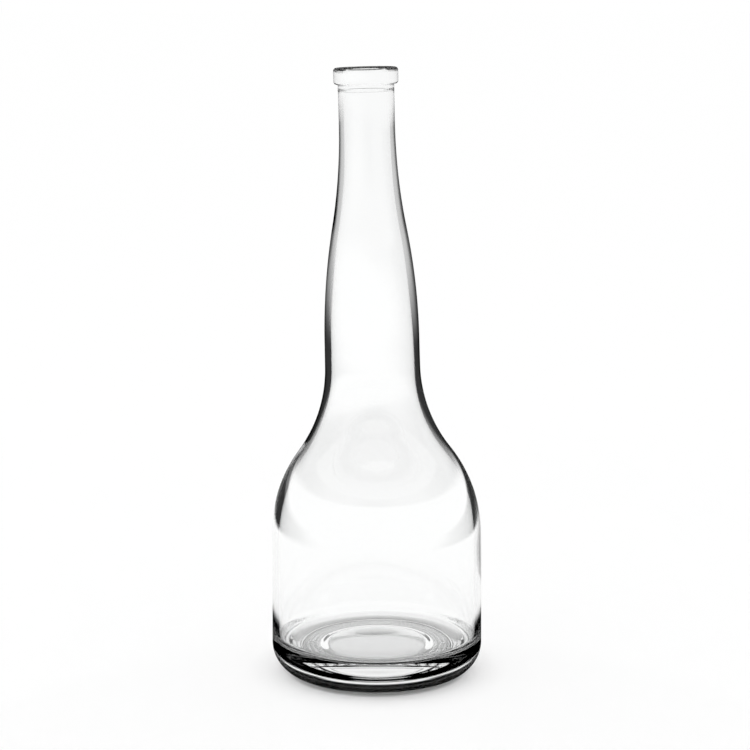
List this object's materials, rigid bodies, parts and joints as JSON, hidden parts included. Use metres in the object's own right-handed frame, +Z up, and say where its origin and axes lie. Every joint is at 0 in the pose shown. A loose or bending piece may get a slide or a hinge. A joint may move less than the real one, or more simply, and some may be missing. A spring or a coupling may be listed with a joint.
{
  "type": "glass spirit bottle",
  "caption": "Clear glass spirit bottle with a thick base, straight round body, round shoulder, long swelling neck and a cork-finish ring at the open mouth.",
  "frame": {"origin": "centre of the bearing ring, on the surface that the bottle stands on", "axes": "+Z up through the body, +Y away from the viewer of the picture, +X to the viewer's right. The neck leans 1.33 degrees towards -X."},
  "size_m": [0.089, 0.089, 0.2552],
  "materials": {
    "clear_glass": "clear flint glass, fire-polished smooth, with a stippled ring under the base"
  },
  "bodies": {
    "root": {"glass_bottle": "clear_glass"}
  },
  "joints": []
}
